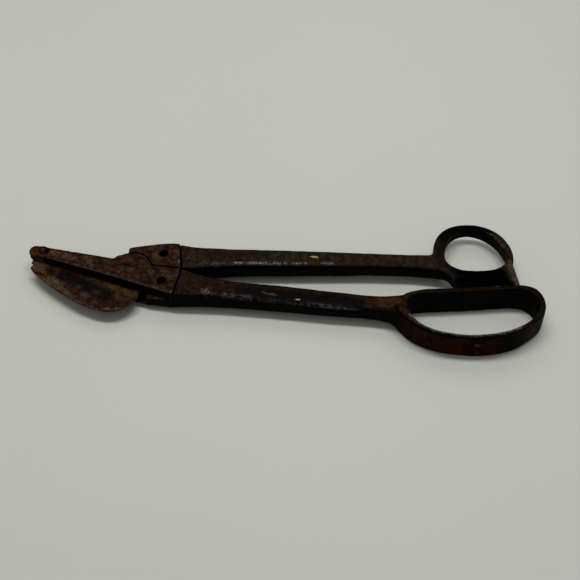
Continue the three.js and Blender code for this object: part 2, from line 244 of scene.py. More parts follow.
def age(mesh, voxel, rounding, dents, pits, seed):
    """Rounds the edges, dents and pits the surface, and records the wear; sizes in mm."""
    edges = edges_of(mesh)
    points = coordinates(mesh)
    rounds = max(2, round((rounding / voxel) ** 2 * ROUNDING_RATE))
    sharp = near_seam(tool_frame(mesh))[:, None]
    lightly = blurred(points, edges, 2)
    set_coordinates(mesh, lightly * sharp + blurred(points, edges, rounds) * (1 - sharp))
    points = roughened(coordinates(mesh), normals_of(mesh), dents, pits, seed)
    points[:, 2] = np.maximum(points[:, 2], 0)
    set_coordinates(mesh, points)
    record_wear(mesh, edges, voxel)
    mesh.shade_smooth()


def seam_distance(places):
    """How far along X places are from the seams between blades and handles, all in mm."""
    near = np.clip((places[:, 1] - SEAM_MIDDLE[1]) / (SEAM_NEAR[1] - SEAM_MIDDLE[1]), 0, 1)
    far = np.clip((places[:, 1] - SEAM_MIDDLE[1]) / (SEAM_FAR[1] - SEAM_MIDDLE[1]), 0, 1)
    x = SEAM_MIDDLE[0] + near * (SEAM_NEAR[0] - SEAM_MIDDLE[0]) + far * (SEAM_FAR[0] - SEAM_MIDDLE[0])
    return np.abs(places[:, 0] - x)


def near_seam(places):
    """1 at the seams, 0 a few millimetres away."""
    return smoothstep(SEAM_REACH, SEAM_REACH / 2, seam_distance(places))


def seam_line(places):
    """1 at the very edge of the seams, to be drawn dark."""
    return smoothstep(SEAM_DARK + SEAM_BLUR, SEAM_DARK - SEAM_BLUR, seam_distance(places))


def close_seam(mesh):
    """Pushes a handle's end up to its blade, so that the seam shows as a dark line."""
    points = coordinates(mesh)
    points[:, 0] -= SEAM_PUSH * MM * near_seam(tool_frame(mesh))
    set_coordinates(mesh, points)


def cut_groove(mesh):
    """Sinks the cut by the pivot's end into the hub."""
    places = tool_frame(mesh)
    points = coordinates(mesh)
    points[:, 2] -= GROOVE_DEPTH * MM * groove(places[:, :2]) * above(places, HUB_TOP)
    set_coordinates(mesh, points)


def spread_end(mesh):
    """Peens the rivet's end: it fills its hole and is slightly domed."""
    places = tool_frame(mesh)
    points = coordinates(mesh)
    end = above(places, RIVET_END)
    radius = np.hypot(places[:, 0], places[:, 1])
    wide = 1 + end * (PEENED_R / RIVET_R - 1)
    points[:, 0] = (places[:, 0] * wide + PIVOT.x) * MM
    points[:, 1] = (places[:, 1] * wide + PIVOT.y) * MM
    dome = PEENED_RISE - PEENED_FALL * (radius / RIVET_R) ** 2
    points[:, 2] += end * (dome - GROOVE_DEPTH * groove(places[:, :2])) * MM
    set_coordinates(mesh, points)


def tool_frame(mesh):
    """Vertex places in mm from the pivot: x towards the loops, y towards the far handle, z up."""
    return coordinates(mesh) / MM - np.array([PIVOT.x, PIVOT.y, 0])


def blade_frame(places):
    """The same places given along and across the cutting line, as two columns."""
    along = -places[:, 0] * math.cos(EDGE_ANGLE) + places[:, 1] * math.sin(EDGE_ANGLE)
    across = places[:, 0] * math.sin(EDGE_ANGLE) + places[:, 1] * math.cos(EDGE_ANGLE)
    return np.stack([along, across], axis=1)


def patch(plan, centre, radii):
    """1 at a patch's centre, falling smoothly to 0 at about its radii."""
    distance = (((plan - np.array(centre)) / np.array(radii)) ** 2).sum(axis=1)
    return np.exp(-distance * MARK_FALLOFF)


def stroke(plan, start, end, radius):
    """1 on the line between two points, falling smoothly to 0 at about the radius."""
    start = np.array(start, float)
    run = np.array(end, float) - start
    share = np.clip((plan - start) @ run / (run @ run), 0, 1)
    away = plan - start - share[:, None] * run
    return np.exp(-MARK_FALLOFF * (away**2).sum(axis=1) / radius**2)


def strongest(*weights):
    """The largest of several weights at each vertex."""
    return np.maximum.reduce(weights)


def polyline(plan, points, radius):
    """The strongest of the strokes from each point to the next."""
    return strongest(*[stroke(plan, a, b, radius) for a, b in zip(points, points[1:])])


def above(places, height):
    """1 above a height in mm, 0 below it."""
    return smoothstep(height - HEIGHT_BLUR, height + HEIGHT_BLUR, places[:, 2])


def in_band(places, low, high):
    """1 between two heights in mm, 0 outside them."""
    return above(places, low) * (1 - above(places, high))


def merged(*region_sets):
    """Several sets of region weights in one: each region's strongest weight."""
    together = {}
    for weights in region_sets:
        for name, weight in weights.items():
            together[name] = np.maximum(together.get(name, 0), weight)
    return together


def lap_line(places):
    """1 along the line where the straight blade and the tang meet, to be drawn dark."""
    plan = places[:, :2]
    away = np.abs(np.hypot(plan[:, 0], plan[:, 1]) - LAP_R)
    angle = np.degrees(np.arctan2(plan[:, 1], plan[:, 0]))
    bend = smoothstep(LAP_HALF_WIDTH + LAP_BLUR, LAP_HALF_WIDTH - LAP_BLUR, away)
    bend = bend * (angle > LAP_START) * (angle < LAP_END)
    straight = stroke(plan, LAP_CORNER, SEAM_MIDDLE, LAP_HALF_WIDTH * 1.5)
    return above(places, TOP) * strongest(bend, straight)


def pin_hole(plan, centre):
    """1 inside the hole of a cross pin."""
    distance = np.sqrt(((plan - np.array(centre)) ** 2).sum(axis=1))
    return smoothstep(PIN_HOLE_R + 0.5, PIN_HOLE_R + 0.1, distance)


def groove(plan):
    """1 along the cut at the far side of the pivot's end."""
    return stroke(plan, *PIVOT_GROOVE, GROOVE_HALF_WIDTH)


# ---------------------------------------------------------------- node helpers


class Tree:
    """Short calls that add nodes to a material."""

    def __init__(self, name):
        self.material = bpy.data.materials.new(name)
        self.material.use_nodes = True
        self.nodes = self.material.node_tree.nodes
        self.links = self.material.node_tree.links
        self.shader = self.nodes["Principled BSDF"]
        self.place = self.nodes.new("ShaderNodeTexCoord").outputs["Object"]

    def feed(self, socket, value):
        """Links a socket's value in, or sets a plain one."""
        if isinstance(value, bpy.types.NodeSocket):
            self.links.new(value, socket)
        else:
            socket.default_value = value

    def math(self, operation, a, b):
        node = self.nodes.new("ShaderNodeMath")
        node.operation = operation
        self.feed(node.inputs[0], a)
        self.feed(node.inputs[1], b)
        return node.outputs[0]

    def noise(self, feature, detail, roughness, offset=0.0):
        """Noise about 0..1, its largest features about `feature` mm across."""
        mapping = self.nodes.new("ShaderNodeMapping")
        mapping.inputs["Location"].default_value = (offset, offset * 0.7, -offset)
        self.links.new(self.place, mapping.inputs["Vector"])
        node = self.nodes.new("ShaderNodeTexNoise")
        node.inputs["Scale"].default_value = 1 / (feature * MM)
        node.inputs["Detail"].default_value = detail
        node.inputs["Roughness"].default_value = roughness
        self.links.new(mapping.outputs[0], node.inputs["Vector"])
        return node.outputs["Fac"]

    def cells(self, feature):
        """Distance to the middle of cells that are about `feature` mm across."""
        node = self.nodes.new("ShaderNodeTexVoronoi")
        node.inputs["Scale"].default_value = 1 / (feature * MM)
        self.links.new(self.place, node.inputs["Vector"])
        return node.outputs["Distance"]

    def attribute(self, name):
        node = self.nodes.new("ShaderNodeAttribute")
        node.attribute_name = name
        return node.outputs["Fac"]

    def between(self, value, low, high):
        """0 below low, 1 above high, eased between."""
        node = self.nodes.new("ShaderNodeMapRange")
        node.interpolation_type = "SMOOTHSTEP"
        self.feed(node.inputs["Value"], value)
        node.inputs["From Min"].default_value = low
        node.inputs["From Max"].default_value = high
        return node.outputs["Result"]

    def mix(self, share, a, b):
        """Colour a where the share is 0, colour b where it is 1."""
        node = self.nodes.new("ShaderNodeMix")
        node.data_type = "RGBA"
        self.feed(node.inputs["Factor"], share)
        self.feed(node.inputs["A"], a)
        self.feed(node.inputs["B"], b)
        return node.outputs["Result"]

    def blend(self, share, a, b):
        """Number a where the share is 0, number b where it is 1."""
        node = self.nodes.new("ShaderNodeMix")
        node.data_type = "FLOAT"
        self.feed(node.inputs["Factor"], share)
        self.feed(node.inputs[2], a)
        self.feed(node.inputs[3], b)
        return node.outputs[0]

    def shade(self, colour, factor):
        """A colour made lighter or darker."""
        node = self.nodes.new("ShaderNodeVectorMath")
        node.operation = "SCALE"
        self.feed(node.inputs[0], colour)
        self.feed(node.inputs["Scale"], factor)
        return node.outputs[0]

    def bump(self, height, depth, strength, normal=None):
        """The normal bent by a height map that is `depth` mm deep."""
        node = self.nodes.new("ShaderNodeBump")
        node.inputs["Strength"].default_value = strength
        node.inputs["Distance"].default_value = depth * MM
        self.feed(node.inputs["Height"], height)
        if normal is not None:
            self.links.new(normal, node.inputs["Normal"])
        return node.outputs["Normal"]


def rgb(red, green, blue):
    return (red, green, blue, 1.0)


TAN = rgb(0.062, 0.036, 0.017)
OCHRE = rgb(0.050, 0.026, 0.009)
RUST = rgb(0.046, 0.014, 0.0045)
RED = rgb(0.022, 0.0030, 0.0022)
PURPLE = rgb(0.0060, 0.0038, 0.0042)
PALE = rgb(0.10, 0.078, 0.074)
BLACK = rgb(0.0007, 0.0006, 0.0006)
GRIME = rgb(0.0020, 0.0014, 0.0010)
YELLOW = rgb(0.34, 0.27, 0.11)
GLINT = rgb(0.17, 0.17, 0.19)


class Grain:
    """The noises that every aged steel shares, from broad stains to the finest grain."""

    def __init__(self, t):
        self.broad = t.noise(17, 3, 0.55)
        self.mid = t.noise(4.6, 6, 0.66, offset=0.013)
        self.small = t.noise(1.7, 4, 0.6, offset=0.031)
        self.fine = t.noise(0.7, 2, 0.5, offset=0.057)
        speckle_small = t.math("MULTIPLY", self.small, 0.6)
        self.speckle = t.math("ADD", speckle_small, t.math("MULTIPLY", self.fine, 0.4))


def region(t, attribute, texture, high=1.0):
    """A painted region's weight broken up by a texture: full where both are high."""
    total = t.math("ADD", t.attribute(attribute), t.math("MULTIPLY", texture, 0.8))
    inside = t.between(t.attribute(attribute), 0.02, 0.2)
    return t.math("MULTIPLY", t.between(total, 0.62, high), inside)


def mottled(t, grain, ground, light, stain, flecks):
    """The ground colour with lighter and stained areas, grime and flecks, and painted shade that
    blackens the sides turned to the near side.
    """
    colour = t.mix(t.between(grain.mid, 0.36, 0.64), ground, light)
    colour = t.mix(t.math("MULTIPLY", t.between(grain.broad, 0.46, 0.66), 0.7), colour, stain)
    colour = t.mix(t.math("MULTIPLY", t.between(grain.small, 0.52, 0.72), 0.55), colour, GRIME)
    colour = t.mix(t.math("MULTIPLY", t.between(grain.speckle, 0.56, 0.68), flecks), colour, TAN)
    # painted shade: the near-facing sides go almost black
    side = t.blend(t.between(grain.mid, 0.55, 0.8), 0.98, 0.8)
    return t.mix(t.math("MULTIPLY", t.attribute("near_face_shade"), side), colour, BLACK)


def painted_regions(t, grain, colour):
    """Dark, tan, ochre, rust, red and pale regions over a colour, the pale lines along edges being
    painted highlights, and how rusty each point is.
    """
    dark = region(t, "dark", t.blend(0.35, grain.mid, grain.small), high=1.06)
    colour = t.mix(dark, colour, PURPLE)
    half_and_half = t.blend(0.5, grain.mid, grain.small)
    rustiness = 0.0
    for name, texture, tint in (
        ("tan", half_and_half, TAN),
        ("ochre", t.blend(0.6, grain.mid, grain.small), OCHRE),
        ("rust", half_and_half, RUST),
        ("red", grain.mid, RED),
    ):
        share = region(t, name, texture)
        colour = t.mix(share, colour, tint)
        rustiness = t.math("MAXIMUM", rustiness, share)
    # pale specks, and pale lines along edges that are painted highlights
    pale = t.math("MULTIPLY", t.attribute("pale"), t.between(grain.speckle, 0.47, 0.6))
    return t.mix(pale, colour, PALE), rustiness


def weathered_and_shaded(t, grain, colour, rubbed):
    """A colour varied at two scales, with pale marks and painted highlights, rubbed edges, painted
    shade that blackens hollows and darkens by region, and black joints with painted shade in holes and
    clefts.
    """
    colour = t.shade(colour, t.blend(t.between(grain.speckle, 0.40, 0.60), 0.55, 1.4))
    colour = t.shade(colour, t.blend(t.between(grain.mid, 0.38, 0.62), 0.66, 1.3))
    # pale patches: scratches and specks, and painted highlights and painted light on rims, rivet ends,
    # the heel and the leaf by the arm's wall
    colour = t.mix(t.attribute("pale_and_highlight"), colour, PALE)
    worn = t.math("ADD", t.attribute("worn"), t.math("MULTIPLY", grain.small, 0.6))
    bare = t.blend(t.between(grain.mid, 0.4, 0.6), 0.45, 0.9)
    worn = t.math("MULTIPLY", t.between(worn, 0.6, 1.1), bare)
    colour = t.mix(worn, colour, rubbed)
    # painted shade: hollows go almost black
    hollow_shade = t.between(t.attribute("hollow_shade"), 0.1, 0.7)
    colour = t.mix(t.math("MULTIPLY", hollow_shade, 0.95), colour, BLACK)
    # painted shade: a darkening factor painted by region into nooks, undersides and walls under
    # overhangs
    colour = t.shade(colour, t.blend(t.attribute("shade_and_darkening"), 1.0, 0.1))
    # black seams and joints, and painted shade in holes, clefts, the web and the cut
    return t.mix(t.between(t.attribute("joints_and_shade"), 0.3, 0.7), colour, BLACK)


def rough_normal(t, grain):
    """The normal of a surface with coarse scale, small craters and grain."""
    coarse = t.bump(t.blend(0.5, grain.mid, grain.small), 0.35, 0.7)
    craters = t.bump(t.between(t.cells(1.7), 0.15, 0.45), 0.10, 0.5, coarse)
    return t.bump(grain.fine, 0.12, 0.5, craters)


def aged_steel(name, ground, light, stain, rubbed, gloss, flecks):
    """Old steel: a mottled ground, tan, rust and dark regions, rubbed edges, black joints, painted
    highlights, and painted shade on near-facing sides and in hollows, holes and clefts.
    """
    t = Tree(name)
    grain = Grain(t)
    colour = mottled(t, grain, ground, light, stain, flecks)
    colour, rustiness = painted_regions(t, grain, colour)
    colour = weathered_and_shaded(t, grain, colour, rubbed)
    ragged = t.math("ADD", t.attribute("paint"), t.math("MULTIPLY", grain.speckle, 2.4))
    colour = t.mix(t.between(ragged, 1.6, 1.85), colour, YELLOW)
    glint = t.math("MULTIPLY", t.attribute("glint"), t.between(grain.speckle, 0.44, 0.56))
    glint = t.math("MULTIPLY", glint, t.between(grain.mid, 0.36, 0.52))
    t.feed(t.shader.inputs["Base Color"], t.mix(glint, colour, GLINT))
    t.feed(t.shader.inputs["Metallic"], glint)

    roughness = t.blend(t.between(grain.small, 0.35, 0.7), gloss, gloss + 0.2)
    roughness = t.blend(rustiness, roughness, 0.85)
    t.feed(t.shader.inputs["Roughness"], t.blend(glint, roughness, 0.42))
    t.shader.inputs["Specular IOR Level"].default_value = 0.015
    t.feed(t.shader.inputs["Normal"], rough_normal(t, grain))
    return t.material


def shade_black(name):
    """Painted shade: black that reflects nothing, for deep holes and clefts and the pins' ends."""
    t = Tree(name)
    t.shader.inputs["Base Color"].default_value = BLACK
    t.shader.inputs["Roughness"].default_value = 0.9
    t.shader.inputs["Specular IOR Level"].default_value = 0.0
    return t.material


# ---------------------------------------------------------------- pieces

REGION_NAMES = (
    "tan", "ochre", "rust", "red", "dark", "pale", "pale_and_highlight", "shade_and_darkening", "joints_and_shade", "paint", "glint",
)
DEEP = 0.75  # faces with more painted shade or black joint than this take the black material that reflects nothing


def blacken(mesh):
    """Gives the faces deepest in painted shade or black joints a black material that reflects nothing.
    """
    depth = np.maximum(attribute_values(mesh, "shade_and_darkening"), attribute_values(mesh, "joints_and_shade"))
    corners = np.zeros(len(mesh.loops), int)
    mesh.loops.foreach_get("vertex_index", corners)
    starts = np.zeros(len(mesh.polygons), int)
    mesh.polygons.foreach_get("loop_start", starts)
    deep = np.minimum.reduceat(depth[corners], starts) > DEEP
    if deep.any():
        mesh.materials.append(SHADE_BLACK)
        mesh.polygons.foreach_set("material_index", deep.astype(np.int32))


def build(node, body, material, seed, voxel, rounding, dents, pits, regions=(), reshape=None):
    """Makes a piece from its CAD node: a fine mesh, shaped, aged, painted with regions and bound."""
    piece = remeshed(node, voxel)
    mesh = piece.data
    if reshape is not None:
        reshape(mesh)
    age(mesh, voxel, rounding, dents, pits, seed)
    places = tool_frame(mesh)
    weights = merged(*[part(places) for part in regions])
    # calm lifts the rubbed edges and the painted shade of hollows and near-facing sides
    calm = weights.pop("calm", 0)
    for name in ("worn", "hollow_shade", "near_face_shade"):
        set_attribute(mesh, name, attribute_values(mesh, name) * (1 - calm))
    for name in REGION_NAMES:
        set_attribute(mesh, name, weights.get(name, np.zeros(len(mesh.vertices))))
    mesh.materials.append(material)
    blacken(mesh)
    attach(piece, body)
    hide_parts(node)


def arm_regions(places):
    """The straight blade's rusty nose and tan arm."""
    blade = blade_frame(places)
    top = above(places, TOP)
    nose_wall = smoothstep(-11.4, -12.2, blade[:, 1]) * smoothstep(74, 79, blade[:, 0])
    return {
        "tan": top * strongest(
            0.75 * patch(blade, (67, -6), (11, 4)),
            0.62 * patch(blade, (56, -5), (16, 5)),
            0.45 * patch(blade, (40, -3), (14, 6)),
        ),
        "ochre": strongest(0.25 * top * patch(blade, (72, -6), (6, 4)), nose_wall),
        "rust": strongest(0.8 * top * patch(blade, (85, -10), (8, 6)), 0.5 * nose_wall),
        "red": strongest(
            0.95 * patch(blade, (91, -8), (3.0, 9)),
            0.6 * patch(blade, (84, -4), (8, 2.4)),
            0.4 * top * patch(blade, (84, -9), (6, 3)),
            0.5 * top * patch(blade, (74, -6), (4, 6)),
            0.95 * (1 - top) * stroke(blade, (72, -12.5), (40, -12.5), 2),
        ),
        "dark": 0.4 * top * patch(blade, (26, -2), (14, 4)),
        # painted highlight: a pale line along the arm's near edge
        "pale": 0.35 * top * stroke(blade, (60, -11.5), (-38, -11.5), 0.9),
        "pale_and_highlight": 0.3 * top * patch(blade, (33, -7), (3, 2)),
        # painted shade: the wall under the arm and an arc round the tip rivet's right side
        "shade_and_darkening": strongest(
            0.6 * (1 - top) * stroke(blade, (70, -12.5), (60, -12.5), 2),
            0.8 * top * polyline(blade, [(76.5, -2), (74.4, -4.6), (74.6, -8), (76.6, -10.4)], 1.2),
            0.6 * top * stroke(blade, (90, -6), (85, -2.6), 1.2),
        ),
        "calm": nose_wall,
    }


def hub_and_tail_regions(places):
    """The straight blade's browner hub and tail, and the foot under it, darkened as painted shade."""
    plan = places[:, :2]
    top = above(places, TOP)
    return {
        "tan": top * strongest(
            0.25 * patch(plan, (-6, 10), (8, 5)), 0.35 * patch(plan, (28, -1), (9, 4))
        ),
        "ochre": 0.3 * top * strongest(
            patch(plan, (26, -16), (12, 6)), stroke(plan, (10, -4), (9, 6), 2.5)
        ),
        "rust": 0.3 * (1 - top) * patch(plan, (28, -24), (16, 4)),
        "red": 0.3 * top * patch(plan, (29, -15), (8, 6)),
        "pale_and_highlight": 0.75 * top * patch(plan, (37.4, -21.4), (1.6, 1.3)),
        # painted shade: the low foot under the hub darkened
        "shade_and_darkening": 0.9 * (1 - above(places, FOOT_TOP)) * patch(plan, (9, -18), (9, 7)),
        # black seams and lap line, and painted shade in the pin hole and the cut
        "joints_and_shade": strongest(
            pin_hole(plan, STRAIGHT_PIN), groove(plan), seam_line(places), lap_line(places)
        ),
        "calm": top * patch(plan, (0, 0), (8, 8)),
    }


def leaf_regions(places):
    """The leaf blade: a tan and rusty belly round a dark middle, a pale line along its edge painted as
    a highlight, and painted light by the arm's wall.
    """
    blade = blade_frame(places)
    leaf = in_band(places, LEAF_TOP, TOP)
    weights = {
        "tan": strongest(
            patch(blade, (79, -17), (9, 7)),
            0.9 * stroke(blade, (72, -25), (56, -30), 5.5),
            0.62 * stroke(blade, (56, -31), (36, -37), 4),
            0.5 * stroke(blade, (8, -16), (-13, -17), 4),
        ),
        "ochre": strongest(
            0.75 * stroke(blade, (16, -16), (-13, -18), 4), 0.4 * patch(blade, (60, -30), (10, 4))
        ),
        "rust": strongest(
            0.85 * patch(blade, (69, -25), (6, 4)),
            0.75 * patch(blade, (84, -12.5), (6, 2.6)),
            0.5 * patch(blade, (-5, -27), (9, 6)),
            0.35 * stroke(blade, (10, -18), (-12, -20), 3),
        ),
        "red": strongest(
            0.9 * patch(blade, (74, -24.4), (6, 1.8)), 0.4 * stroke(blade, (10, -36), (-8, -26), 5)
        ),
        "dark": strongest(
            0.9 * stroke(blade, (54, -19), (12, -27), 8), 0.7 * patch(blade, (66, -19), (4, 4))
        ),
        # painted highlight: a pale line along the leaf's edge, and pale specks
        "pale": strongest(
            0.9 * polyline(blade, [(34, -39.6), (12, -41.6), (-6, -34)], 1.1),
            0.4 * patch(blade, (60, -30), (12, 5)),
        ),
        # painted light: the leaf lightened by the arm's wall, against the arm's shadow, among pale
        # patches
        "pale_and_highlight": strongest(
            0.22 * patch(blade, (36.5, -25.8), (3.0, 2.2)),
            0.32 * patch(blade, (27.6, -31.4), (4.0, 2.6)),
            0.16 * patch(blade, (20, -26), (5, 3)),
            0.2 * patch(blade, (80, -17), (6, 3)),
            0.18 * patch(blade, (74, -20), (5, 3)),
        ),
        # painted shade under the leaf's heel
        "shade_and_darkening": 0.5 * patch(blade, (-14, -17), (3, 6)),
    }
    return {name: leaf * weight for name, weight in weights.items()}


def tang_regions(places):
    """The belly blade's brown tang."""
    plan = places[:, :2]
    top = above(places, TOP)
    return {
        "tan": top * strongest(
            0.42 * patch(plan, (13, 22), (7, 4)),
            0.5 * patch(plan, (36, 20), (5, 7)),
            0.3 * patch(plan, (24, 24), (12, 5)),
        ),
        "ochre": top * strongest(
            0.42 * patch(plan, (33, 14), (8, 9)), 0.34 * patch(plan, (20, 16), (14, 8))
        ),
        "pale_and_highlight": 0.8 * top * patch(plan, (39, 11), (1.3, 2.2)),
        # black seams and lap line, and painted shade in the pin hole
        "joints_and_shade": strongest(pin_hole(plan, BELLY_PIN), seam_line(places), lap_line(places)),
    }


def near_bar_regions(places):
    """The near handle's bar: dark worn paint, a golden neck, flecks of paint and a bright edge."""
    plan = places[:, :2]
    top = above(places, TOP)
    weights = {
        "rust": strongest(
            0.28 * patch(plan, (49, -16), (9, 7)),
            0.42 * patch(plan, (86, -15), (6, 4)),
            0.28 * patch(plan, (62, -12), (8, 5)),
            0.45 * patch(plan, (222, -18), (10, 9)),
        ),
        "ochre": 0.62 * patch(plan, (214, -17), (18, 9)),
        "dark": strongest(
            0.75 * stroke(plan, (92, -16), (190, -20), 10), 0.45 * patch(plan, (70, -10), (10, 5))
        ),
        # darkens stripes along the bar's top
        "shade_and_darkening": strongest(
            0.35 * stroke(plan, (100, -14), (185, -18), 9),
            0.2 * stroke(plan, (203, -17), (228, -17), 8),
        ),
        "pale_and_highlight": 0.75 * polyline(plan, [(111.5, -14.6), (117, -16.6), (123.5, -17.2)], 0.75),
        "pale": 0.7 * patch(plan, (65, -17), (5, 2.4)),
        "paint": strongest(
            0.85 * patch(plan, (141, -20), (3.8, 1.0)), 0.6 * patch(plan, (121, -16), (3, 0.9))
        ),
        "glint": strongest(
            0.45 * patch(plan, (66, -19), (6, 3)),
            0.4 * stroke(plan, (80, -20), (102, -21), 1.8),
            0.2 * stroke(plan, (102, -21), (150, -23.5), 1.4),
            0.65 * stroke(plan, (150, -23), (190, -25), 1.5),
        ),
    }
    return {name: top * weight for name, weight in weights.items()} | {"joints_and_shade": seam_line(places)}


def finger_loop_regions(places):
    """The finger loop: a rim with a painted highlight along its near edge and painted shade at its far
    side, over a red-brown wall with two spots.
    """
    plan = places[:, :2]
    rim = above(places, RIM)
    wall = 1 - rim
    yellow_spot = patch(plan, (286.8, -49), (3.2, 6)) * in_band(places, *YELLOW_SPOT_HEIGHTS)
    rust_spot = patch(plan, (287.6, -49), (2.6, 6)) * in_band(places, *RUST_SPOT_HEIGHTS)
    round_spots = 1 - np.clip(1.6 * strongest(yellow_spot, rust_spot), 0, 1)
    return {
        "rust": strongest(
            0.35 * rim * stroke(plan, (276, 0), (296, 2.4), 3),
            0.42 * wall * stroke(plan, (236, -42), (276, -50), 7),
            0.3 * wall * stroke(plan, (222, -31), (238, -42), 5),
            0.34 * wall * patch(plan, (304, -48), (34, 8)),
            rust_spot,
        ),
        "ochre": strongest(0.42 * wall * patch(plan, (330, -32), (18, 11)), yellow_spot),
        "tan": 0.28 * wall * patch(plan, (333, -29), (11, 10)),
        "red": wall * round_spots * strongest(
            0.42 * patch(plan, (284, -49), (80, 12)),
            0.36 * patch(plan, (236, -40), (22, 12)),
            0.4 * stroke(plan, (220, -30), (236, -41), 6),
        ),
        # painted shade: the far rim by the thumb loop and the near wall darkened
        "shade_and_darkening": strongest(
            0.6 * rim * stroke(plan, (240, -6), (296, 1), 9),
            0.65 * rim * stroke(plan, (304, 1.5), (330, 2.5), 6),
            0.5 * rim * stroke(plan, (334, -6), (338, -22), 9),
            0.3 * wall * round_spots * patch(plan, (310, -44), (40, 9)),
            0.3 * wall * patch(plan, (256, -48), (20, 8)),
        ),
        # a pale speck, and a painted highlight along the near rim
        "pale_and_highlight": rim * strongest(
            patch(plan, (303, 3.6), (1.8, 1.3)), 0.4 * polyline(plan, NEAR_RIM, 0.8)
        ),
        "glint": 0.7 * rim * polyline(plan, NEAR_RIM, 1.0),
    }


def far_bar_regions(places):
    """The far handle's bar: brown worn paint, one big fleck and a bright edge."""
    plan = places[:, :2]
    weights = {
        "rust": 0.2 * patch(plan, (250, 30), (12, 12)),
        "ochre": strongest(
            0.4 * patch(plan, (46, 20), (5, 9)), 0.2 * stroke(plan, (150, 26), (240, 30), 9)
        ),
        "tan": 0.3 * patch(plan, (44, 18), (4, 9)),
        "dark": 0.42 * stroke(plan, (58, 20), (112, 26), 8),
        "paint": 0.9 * patch(plan, (151.6, 26.3), (4.8, 1.8)),
        "glint": strongest(
            0.72 * stroke(plan, (86, 14.2), (128, 17.6), 1.4),
            0.6 * stroke(plan, (134, 18), (146, 19), 1.2),
            0.6 * stroke(plan, (158, 20), (170, 20.8), 1.2),
            0.2 * stroke(plan, (56, 11), (88, 14.5), 1.6),
        ),
        # painted highlight: pale lines along the thumb loop's rims
        "pale": strongest(
            0.4 * stroke(plan, (300, 66), (312, 50), 1.2), 0.5 * stroke(plan, (266, 31), (300, 26), 1.2)
        ),
        "pale_and_highlight": 0.14 * stroke(plan, (262, 23), (272, 10), 2.4),
    }
    top = above(places, FAR_TOP)
    return {name: top * weight for name, weight in weights.items()} | {"joints_and_shade": seam_line(places)}


def thumb_loop_regions(places):
    """The thumb loop: painted shade on its left, a web blackened as painted shade, and a tan heel
    lightened as painted light.
    """
    plan = places[:, :2]
    return {
        "tan": 0.7 * stroke(plan, (317, 34), (323, 13), 7),
        "dark": 0.9 * strongest(
            patch(plan, (284, 74), (30, 9)),
            patch(plan, (262, 62), (9, 12)),
            patch(plan, (270, 22), (10, 10)),
        ),
        # painted shade: the loop's left side and the web darkened
        "shade_and_darkening": strongest(
            0.74 * stroke(plan, (256, 42), (260, 64), 10),
            polyline(plan, [(262, 66), (272, 73), (284, 75), (296, 73)], 7),
            0.6 * stroke(plan, (258, 30), (270, 18), 6),
            stroke(plan, (274, 21), (308, 24), 8),
        ),
        # painted shade: the web and the ring's far side blackened
        "joints_and_shade": strongest(
            0.95 * stroke(plan, (280, 17), (308, 18), 9),
            stroke(plan, (276, 10), (312, 10), 11),
            0.8 * stroke(plan, (264, 68), (284, 76), 6),
            0.8 * stroke(plan, (284, 76), (306, 68), 5),
        ),
        # painted light: the heel lightened
        "pale_and_highlight": 0.16 * stroke(plan, (317, 28), (321, 14), 4),
    }


def rivet_regions(places):
    """The pivot rivet and its washer: a painted highlight on the end, and painted shade in the cut on
    it.
    """
    plan = places[:, :2]
    return {
        "dark": 0.5 * (1 - above(places, FAR_TOP)),
        # painted highlight on the rivet's end
        "pale_and_highlight": above(places, HUB_TOP) * 0.32 * patch(plan, (0.6, -0.6), (3.4, 2.6)),
        # painted shade in the cut on the rivet's end
        "joints_and_shade": groove(plan),
    }


def tip_rivet_regions(places):
    """The tip rivet: red rust, a painted highlight in the middle and a painted shadow arc on its right.
    """
    plan = places[:, :2]
    centre = plan.mean(axis=0)
    arc_start = centre + np.array([3.8, 1.8])
    arc_end = centre + np.array([3.2, -2.8])
    return {
        "red": np.full(len(places), 0.75),
        # painted highlight in the rivet's middle
        "pale_and_highlight": 0.4 * patch(plan, centre, (1.7, 1.5)) * above(places, TIP_TOP),
        # painted shade: a dark arc on the rivet's right
        "joints_and_shade": 0.9 * stroke(plan, arc_start, arc_end, 1.3),
    }


# ---------------------------------------------------------------- scene


def make_camera():
    """A camera that looks down on the tool from the photograph's angle."""
    azimuth = math.radians(CAMERA_AZIMUTH)
    elevation = math.radians(CAMERA_ELEVATION)
    look = Vector((PIVOT.x + LOOK_FROM_PIVOT[0], PIVOT.y + LOOK_FROM_PIVOT[1], LOOK_HEIGHT)) * MM
    back = Vector((
        math.sin(azimuth) * math.cos(elevation),
        -math.cos(azimuth) * math.cos(elevation),
        math.sin(elevation),
    ))
    data = bpy.data.cameras.new("camera")
    data.angle = 2 * math.atan(CAMERA_SPAN / 2)
    data.clip_start = 0.01
    camera = bpy.data.objects.new("camera", data)
    camera.location = look + back * CAMERA_DISTANCE
    camera.rotation_euler = (-back).to_track_quat("-Z", "Y").to_euler()
    bpy.context.scene.collection.objects.link(camera)
    bpy.context.scene.camera = camera


